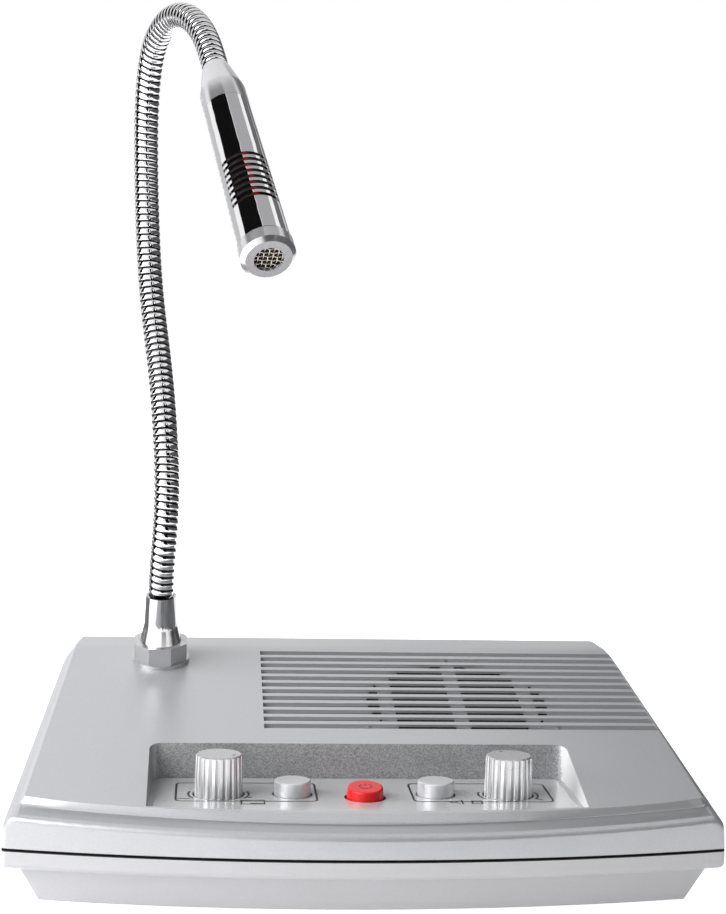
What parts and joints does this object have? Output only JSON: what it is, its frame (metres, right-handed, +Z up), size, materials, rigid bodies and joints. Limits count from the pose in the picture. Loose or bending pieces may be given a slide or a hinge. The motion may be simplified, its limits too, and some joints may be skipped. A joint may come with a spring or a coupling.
{
  "type": "teller window intercom",
  "caption": "Desktop counter intercom console with a sloping speaker grille, recessed volume knobs and push buttons, and a bendable gooseneck microphone.",
  "frame": {"origin": "on the counter, under the middle of the console's overall box", "axes": "+X to the right of the clerk who faces the controls, +Y towards the rear sockets, +Z up"},
  "size_m": [0.1918, 0.1402, 0.2505],
  "materials": {
    "cover_plastic": "fine satin, silver-grey",
    "base_plastic": "satin light grey",
    "rubber": "matt black",
    "screw_steel": "zinc plated",
    "overlay": "satin printed sheet",
    "knob_plastic": "satin grey",
    "button_silver": "bright plated",
    "power_red": "glossy red",
    "board_green": "solder mask",
    "black_plastic": "black",
    "shaft_metal": "machined",
    "pot_metal": "stamped",
    "cloth": "black woven",
    "gasket_foam": "foam",
    "speaker_steel": "black",
    "cone_paper": "black paper",
    "coil_copper": "enamelled wire",
    "magnet_ferrite": "sintered",
    "neck_chrome": "polished",
    "mic_metal": "satin silver",
    "mic_mesh_metal": "woven wire",
    "lamp_red": "translucent red",
    "chip_black": "epoxy",
    "sink_metal": "anodised",
    "can_metal": "sleeved",
    "plug_white": "natural",
    "wire_pvc": "insulation",
    "ribbon_grey": "flat cable"
  },
  "bodies": {
    "housing": {"top_cover": "cover_plastic", "bottom_cover": "base_plastic", "rubber_feet": "rubber", "cover_screws": "screw_steel", "control_board_screws": "screw_steel", "main_board_screws": "screw_steel", "control_overlay": "overlay", "volume_pot_left": "pot_metal", "volume_pot_right": "pot_metal", "talk_switch_left": "black_plastic", "talk_switch_right": "black_plastic", "power_switch": "black_plastic", "control_board": "board_green", "grille_cloth": "cloth", "speaker_gasket": "gasket_foam", "speaker_frame": "speaker_steel", "speaker_cone": "cone_paper", "dust_cap": "cone_paper", "voice_coil": "coil_copper", "speaker_magnet": "magnet_ferrite", "speaker_yoke": "screw_steel", "speaker_clamps": "screw_steel", "speaker_screws": "screw_steel", "neck_flange": "neck_chrome", "neck_nut": "neck_chrome", "neck_locknut": "screw_steel", "neck_socket": "neck_chrome", "main_board": "board_green", "amplifier_chip": "chip_black", "heatsink": "sink_metal", "capacitors": "can_metal", "board_connectors": "plug_white", "outside_speaker_jack": "black_plastic", "recorder_jack": "black_plastic", "dc_jack": "black_plastic", "socket_nuts": "neck_chrome", "ribbon_cable": "ribbon_grey", "internal_leads": "wire_pvc"},
    "volume_control_left": {"volume_knob_left": "knob_plastic", "volume_shaft_left": "shaft_metal"},
    "volume_control_right": {"volume_knob_right": "knob_plastic", "volume_shaft_right": "shaft_metal"},
    "talk_key_left": {"talk_button_left": "button_silver", "talk_plunger_left": "black_plastic"},
    "talk_key_right": {"talk_button_right": "button_silver", "talk_plunger_right": "black_plastic"},
    "power_key": {"power_button": "power_red", "power_plunger": "black_plastic"},
    "neck_section_1": {"neck_link_1": "neck_chrome"},
    "neck_section_2": {"neck_link_2": "neck_chrome"},
    "neck_section_3": {"neck_link_3": "neck_chrome"},
    "neck_section_4": {"neck_link_4": "neck_chrome"},
    "neck_section_5": {"neck_link_5": "neck_chrome"},
    "neck_section_6": {"neck_link_6": "neck_chrome"},
    "microphone": {"mic_adapter": "mic_metal", "mic_body": "mic_metal", "mic_end_cap": "mic_metal", "mic_mesh": "mic_mesh_metal", "mic_capsule": "shaft_metal", "mic_lamp": "lamp_red"}
  },
  "joints": [
    {"name": "volume_turn_left", "type": "hinge", "parent": "housing", "child": "volume_control_left", "pos_m": [-0.0396, -0.04059, 0.03], "axis": [0, 0, 1], "range_deg": [-150, 150]},
    {"name": "volume_turn_right", "type": "hinge", "parent": "housing", "child": "volume_control_right", "pos_m": [0.0396, -0.04059, 0.03], "axis": [0, 0, 1], "range_deg": [-150, 150]},
    {"name": "talk_press_left", "type": "slide", "parent": "housing", "child": "talk_key_left", "axis": [0, 0, -1], "range_m": [0, 0.001], "stiffness_N_per_m": 1200, "springref_m": -0.0003},
    {"name": "talk_press_right", "type": "slide", "parent": "housing", "child": "talk_key_right", "axis": [0, 0, -1], "range_m": [0, 0.001], "stiffness_N_per_m": 1200, "springref_m": -0.0003},
    {"name": "power_press", "type": "slide", "parent": "housing", "child": "power_key", "axis": [0, 0, -1], "range_m": [0, 0.0016]},
    {"name": "neck_bend_1", "type": "hinge", "parent": "housing", "child": "neck_section_1", "pos_m": [-0.0575, 0.03076, 0.07193], "axis": [1, 0, 0], "range_deg": [-15, 15]},
    {"name": "neck_bend_2", "type": "hinge", "parent": "neck_section_1", "child": "neck_section_2", "pos_m": [-0.05642, 0.02958, 0.11062], "axis": [0, 0.9629, -0.27], "range_deg": [-18, 18]},
    {"name": "neck_bend_3", "type": "hinge", "parent": "neck_section_2", "child": "neck_section_3", "pos_m": [-0.06015, 0.04646, 0.14586], "axis": [0.9911, 0.0613, 0.1182], "range_deg": [-18, 18]},
    {"name": "neck_bend_4", "type": "hinge", "parent": "neck_section_3", "child": "neck_section_4", "pos_m": [-0.06418, 0.0599, 0.1825], "axis": [0, 0.9748, -0.2232], "range_deg": [-18, 18]},
    {"name": "neck_bend_5", "type": "hinge", "parent": "neck_section_4", "child": "neck_section_5", "pos_m": [-0.06513, 0.06177, 0.22146], "axis": [0.9994, 0.0078, -0.0339], "range_deg": [-18, 18]},
    {"name": "neck_bend_6", "type": "hinge", "parent": "neck_section_5", "child": "neck_section_6", "pos_m": [-0.05606, 0.03747, 0.2466], "axis": [0, -0.0394, 0.9992], "range_deg": [-18, 18]},
    {"name": "microphone_tilt", "type": "hinge", "parent": "neck_section_6", "child": "microphone", "pos_m": [-0.0437, 0.00696, 0.22703], "axis": [0.9838, 0.1289, 0.1244], "range_deg": [-20, 20]}
  ]
}
